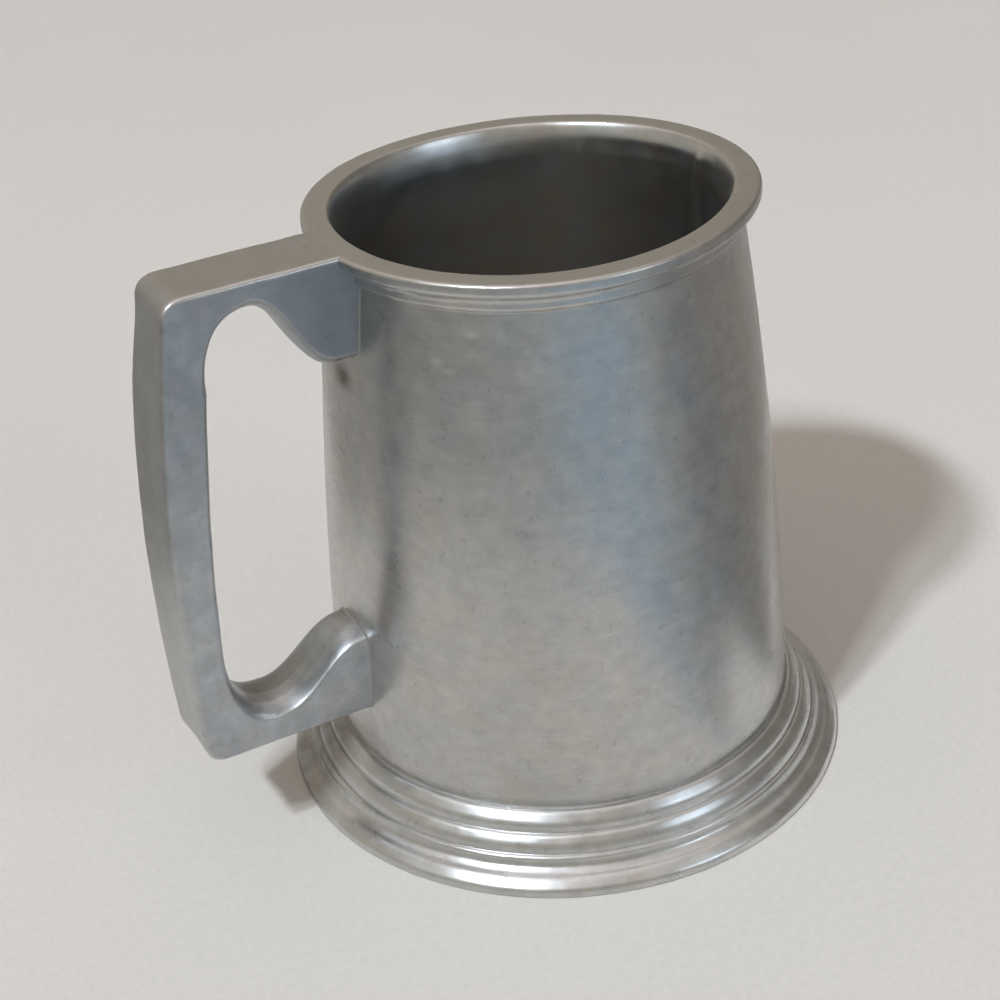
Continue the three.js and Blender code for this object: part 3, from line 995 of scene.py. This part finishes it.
# Solder: fillets with uneven legs, sunk a little into the metal on both sides
FILLET_SINK = 0.12
FILLET_BACK = 0.35
FILLET_HOLLOW = 0.1
FILLET_TAPER = 0.6
FILLET_STEPS = 6
LUG_PATH_POINTS = 120
# Legs: along the level face and up the wall, or for a lug along the wall and out along the lug
FOOT_FILLET = (0.6, 0.8)
FLOOR_FILLET = (1.6, 1.6)
LUG_FILLET = (0.7, 0.5)
LEG_UNEVEN = 0.35
LEG_LUMPS = (6, 2)


def fillet_section(out, up):
    """A hollow fillet in a corner, closed behind the surfaces: (distance out, distance up)."""
    pull = (FILLET_HOLLOW * out, FILLET_HOLLOW * up)
    hollow = curve((-FILLET_SINK, up), pull, (out, -FILLET_SINK), steps=FILLET_STEPS)
    low = (out * FILLET_TAPER, -FILLET_BACK)
    high = (-FILLET_BACK, up * FILLET_TAPER)
    return np.concatenate([hollow, [low, (-FILLET_BACK, -FILLET_BACK), high]])


def uneven_leg(points, leg, seed):
    """The length of a fillet's leg at each point of its path."""
    swing = noise_at(points, LEG_LUMPS[0], seed) + noise_at(points, LEG_LUMPS[1], seed + 1)
    return leg * (1 + LEG_UNEVEN * swing)


def uneven_legs(points, legs, seed):
    """The two legs of a fillet at each point of its path."""
    return uneven_leg(points, legs[0], seed), uneven_leg(points, legs[1], seed + 2)


def make_ring_fillet(name, cad_node, radius, level, side, legs, seed):
    """Solder in the corner of a wall and a level face, outside (side 1) or inside (side -1) the wall."""
    angle = turn_angles(TURN_SEGMENTS)
    path = around_axis(radius, angle, level)
    rings = []
    for turn, out, up in zip(angle, *uneven_legs(path, legs, seed)):
        section = fillet_section(out, up)[::side]
        rings.append(around_axis(radius + side * section[:, 0], turn, level + section[:, 1]))
    points = np.concatenate(rings)
    faces = [face[::-1] for face in grid_faces(TURN_SEGMENTS, len(rings[0]))]
    uneven = lumpy(points, SHARED_LUMPS, SHARED_SEED)
    make_piece(name, points, faces, uneven, solder_pewter, cad_node, "solder")


def make_lug_fillet(name, cad_node, base, way, thickness, drops, top, seed):
    """Solder round a lug where it meets the wall, left open above the top if one is given."""
    loop = handle_loop(thickness, *drops)
    path = np.stack([loop[:, 1], base + way * loop[:, 0]], 1)
    closed = top is None
    if not closed:
        first = np.argmax(path[:, 1] > top)
        path = np.roll(path, -first, 0)
        path = path[path[:, 1] <= top]
    path = resampled([*path, path[0]] if closed else path, LUG_PATH_POINTS)
    if closed:
        path = path[:-1]
    before, after = (path[-1:], path[:1]) if closed else (path[:1], path[-1:])
    padded = np.concatenate([before, path, after])
    along = padded[2:] - padded[:-2]
    along = along / np.linalg.norm(along, axis=1)[:, None]
    outward = np.stack([along[:, 1], -along[:, 0]], 1)
    if ((path - path.mean(0)) * outward).sum() < 0:
        outward = -outward
    lifted = np.stack([path[:, 0], path[:, 1], 0 * path[:, 0]], 1)
    rings = []
    for place, away, out, up in zip(path, outward, *uneven_legs(lifted, LUG_FILLET, seed)):
        section = fillet_section(out, up)
        flat = place + away * section[:, :1]
        wall = wall_radius(np.minimum(flat[:, 1], WALL_TOP))
        reach = np.sqrt(wall ** 2 - flat[:, 0] ** 2) + section[:, 1]
        rings.append(np.stack([AXIS_X - reach, flat[:, 0], flat[:, 1]], 1))
    columns = len(rings[0])
    points = np.concatenate(rings)
    faces = grid_faces(len(rings), columns, close_rows=closed)
    if not closed:
        faces.append(tuple(range(columns)))
        faces.append(tuple((len(rings) - 1) * columns + j for j in reversed(range(columns))))
    uneven = lumpy(points, SHARED_LUMPS, SHARED_SEED)
    make_piece(name, points, faces, uneven, solder_pewter, cad_node, "solder")


make_drum()
make_foot_ring()
make_floor_disc()
make_handle()
make_ring_fillet("mug_foot_solder", "foot_solder_seam", wall_radius(SHOULDER), SHOULDER, 1,
                 FOOT_FILLET, seed=81)
make_ring_fillet("mug_floor_solder", "floor_solder_seam", bore_radius(floor_high.z), floor_high.z,
                 -1, FLOOR_FILLET, seed=91)
make_lug_fillet("mug_upper_lug_solder", "upper_handle_solder", UPPER_LUG_BOTTOM, 1,
                MUG_HEIGHT - UPPER_LUG_BOTTOM, (UPPER_CROWN_DROP, UPPER_CROWN_DROP),
                top=WALL_TOP + 1.2, seed=101)
make_lug_fillet("mug_lower_lug_solder", "lower_handle_solder", LOWER_LUG_TOP, -1,
                LOWER_LUG_TOP - HANDLE_BOTTOM, (CROWN_DROP, FAR_LUG_DROP), top=None, seed=111)


# Studio: a pale floor, soft lamps far off and a dim warm room round them
STAGE_HALF = 20
FLOOR_DARKER = (0.60, 0.575, 0.545)
FLOOR_LIGHTER = (0.64, 0.61, 0.58)
FLOOR_CLOUDS = ((0, 0, 0), (1, 1, 1), 9, 4, 0.55)
FLOOR_GRAIN = ((0, 0, 0), (1, 1, 1), 700, 2, 0.55)
FLOOR_SWING = (0.03, 0.03)


def add_stage(name, height, material):
    """A wide level square of the studio, centred on the drum's axis."""
    s = STAGE_HALF
    mesh = bpy.data.meshes.new(name)
    corners = [(-s, -s, height), (s, -s, height), (s, s, height), (-s, s, height)]
    mesh.from_pydata(corners, [], [(0, 1, 2, 3)])
    mesh.materials.append(material)
    thing = placed(name, mesh)
    thing.location.x = AXIS_X * MM
    return thing


def make_floor():
    """The pale floor that the mug stands on."""
    material, tree = new_material("studio_floor")
    where = node(tree, "TexCoord").outputs["Object"]
    tone = mixed(tree, noise_socket(tree, where, *FLOOR_CLOUDS), FLOOR_DARKER, FLOOR_LIGHTER)
    tone = mottled(tree, tone, noise_socket(tree, where, *FLOOR_GRAIN), 0.3, 0.7, FLOOR_SWING)
    shader = node(tree, "BsdfDiffuse", {"Color": tone, "Roughness": 0.5})
    node(tree, "OutputMaterial", {"Surface": shader.outputs["BSDF"]})
    add_stage("studio_floor", 0, material)


# A dim card that only the metal mirrors: the darker room past the edge of a table.
# By azimuth in degrees: how far off the card starts, in metres from the drum's axis, and its tone.
CARD_STOPS = (
    (-180, 0.23, (0.245, 0.245, 0.235)),
    (-150, 0.23, (0.26, 0.275, 0.27)),
    (-120, 0.176, (0.335, 0.36, 0.37)),
    (-95, 0.203, (0.29, 0.375, 0.455)),
    (-75, 0.098, (0.33, 0.40, 0.465)),
    (-60, 0.064, (0.32, 0.325, 0.32)),
    (-45, 0.112, (0.175, 0.19, 0.21)),
    (-25, 0.064, (0.225, 0.214, 0.2)),
    (0, 0.135, (0.25, 0.232, 0.212)),
    (40, 0.22, (0.42, 0.40, 0.375)),
    (90, 0.26, (0.38, 0.365, 0.343)),
    (130, 0.142, (0.305, 0.29, 0.268)),
    (180, 0.23, (0.245, 0.245, 0.235)),
)
CARD_LIFT = 0.001
# The card's start is kept in a ramp as a share of this distance
CARD_FULL = 0.4


def round_stop(azimuth):
    """Where an azimuth in degrees lies on a ramp that goes once round."""
    return azimuth / 360 + 0.5


def make_card():
    """The dim card just above the floor, with a soft edge."""
    material, tree = new_material("dim_card")
    where = node(tree, "TexCoord").outputs["Object"]
    around = node(tree, "TexGradient", {"Vector": where}, gradient_type="RADIAL").outputs["Fac"]
    tone = ramp(around, [(round_stop(turn), colour) for turn, _, colour in CARD_STOPS])
    start = ramp(around, [(round_stop(turn), off / CARD_FULL) for turn, off, _ in CARD_STOPS])
    distance = node(tree, "VectorMath", {0: where}, operation="LENGTH").outputs["Value"]
    reach = maths(tree, "DIVIDE", maths(tree, "DIVIDE", distance, 2 * CARD_FULL), start)
    share = ramp(reach, [(0.44, 0), (0.56, 1)])
    clear = node(tree, "BsdfTransparent").outputs["BSDF"]
    glow = node(tree, "Emission", {"Color": tone, "Strength": 1.0}).outputs["Emission"]
    shader = node(tree, "MixShader", {0: share, 1: clear, 2: glow})
    node(tree, "OutputMaterial", {"Surface": shader.outputs["Shader"]})
    card = add_stage("dim_card", CARD_LIFT, material)
    for rays in ("camera", "diffuse", "shadow", "transmission"):
        setattr(card, "visible_" + rays, False)


# Two hooded lamps; the metal mirrors only a share of them, as it would a wider, dimmer hood
LAMPS = (("key_lamp", (-0.828, -0.395, 1.239), 39.9), ("second_lamp", (-0.807, -0.509, 1.209), 20.9))
LAMP_RADIUS = 0.046
LAMP_COLOUR = (0.90, 1, 1.09)
GLINT_SHARE = 0.5
# A wide, bluish lamp where a window would be
WINDOW_PLACE = (0.65, -1.27, 0.76)
WINDOW_RADIUS = 0.3
WINDOW_POWER = 8
WINDOW_COLOUR = (0.72, 0.86, 1)


def make_lamp(name, place, radius, power, colour, diffuse=True, glossy=True):
    """A lamp whose light falls off with its distance, not the square of it, as a hooded lamp's does."""
    lamp = bpy.data.lights.new(name, "POINT")
    lamp.shadow_soft_size = radius
    lamp.energy = power
    lamp.color = colour
    tree = emptied_tree(lamp)
    fall = node(tree, "LightFalloff", {"Strength": 1 / Vector(place).length}).outputs["Linear"]
    glow = node(tree, "Emission", {"Strength": fall}).outputs["Emission"]
    node(tree, "OutputLight", {"Surface": glow})
    holder = placed(name, lamp)
    holder.location = place
    holder.visible_diffuse = diffuse
    holder.visible_glossy = glossy


def make_lamps():
    """Each hooded lamp as a light for the floor and a weaker one for reflections, and the window lamp."""
    for name, place, power in LAMPS:
        make_lamp(name, place, LAMP_RADIUS, power, LAMP_COLOUR, glossy=False)
        make_lamp(name + "_glint", place, LAMP_RADIUS, GLINT_SHARE * power, LAMP_COLOUR, diffuse=False)
    make_lamp("window_lamp", WINDOW_PLACE, WINDOW_RADIUS, WINDOW_POWER, WINDOW_COLOUR)


# The room's tone by the sine of the elevation, and its share by azimuth, which evens out overhead
ROOM_TONES = ((0, (0.33, 0.30, 0.255)), (0.62, (0.385, 0.35, 0.30)), (1, (0.87, 0.79, 0.75)))
ROOM_SHARES = (
    (-180, 1.1), (-100, 1), (-50, 0.78), (-20, 0.54),
    (25, 0.54), (60, 1), (120, 1.25), (180, 1.1),
)
ROOM_EVENS = ((0.62, 0), (0.95, 1))
# Shares run past 1, so that the ramp holds half of each and the strength doubles them
ROOM_STRENGTH = 2.0


def make_world():
    """The dim warm room, which lights the mug and fills its reflections."""
    world = bpy.data.worlds.new("room")
    bpy.context.scene.world = world
    tree = emptied_tree(world)
    way = node(tree, "TexCoord").outputs["Generated"]
    elevation = node(tree, "SeparateXYZ", {"Vector": way}).outputs["Z"]
    around = node(tree, "TexGradient", {"Vector": way}, gradient_type="RADIAL").outputs["Fac"]
    halves = [(round_stop(azimuth), share / ROOM_STRENGTH) for azimuth, share in ROOM_SHARES]
    even = 1 / ROOM_STRENGTH
    share = mixed(tree, ramp(elevation, ROOM_EVENS), ramp(around, halves), (even, even, even))
    tone = mixed(tree, 1.0, ramp(elevation, ROOM_TONES), share, "MULTIPLY")
    background = node(tree, "Background", {"Color": tone, "Strength": ROOM_STRENGTH})
    node(tree, "OutputWorld", {"Surface": background.outputs["Background"]})


# The photograph's view: heading is clockwise from +Y, and the camera looks down by the pitch
CAMERA_PLACE = (-0.1417, -0.2948, 0.2471)
CAMERA_HEADING = 25.69
CAMERA_PITCH = 30.08
CAMERA_ROLL = -4.49
CAMERA_LENS = 68.55
CAMERA_SENSOR = 36
CAMERA_NEAR = 0.01


def make_camera():
    """The camera at the photograph's viewing angle."""
    data = bpy.data.cameras.new("camera")
    data.lens = CAMERA_LENS
    data.sensor_width = CAMERA_SENSOR
    data.clip_start = CAMERA_NEAR
    camera = placed("camera", data)
    heading = Matrix.Rotation(math.radians(-CAMERA_HEADING), 4, "Z")
    tilt = Matrix.Rotation(math.radians(90 - CAMERA_PITCH), 4, "X")
    roll = Matrix.Rotation(math.radians(CAMERA_ROLL), 4, "Z")
    camera.matrix_world = Matrix.Translation(CAMERA_PLACE) @ heading @ tilt @ roll
    bpy.context.scene.camera = camera


make_floor()
make_card()
make_world()
make_lamps()
make_camera()

bpy.context.scene.view_settings.view_transform = "Standard"
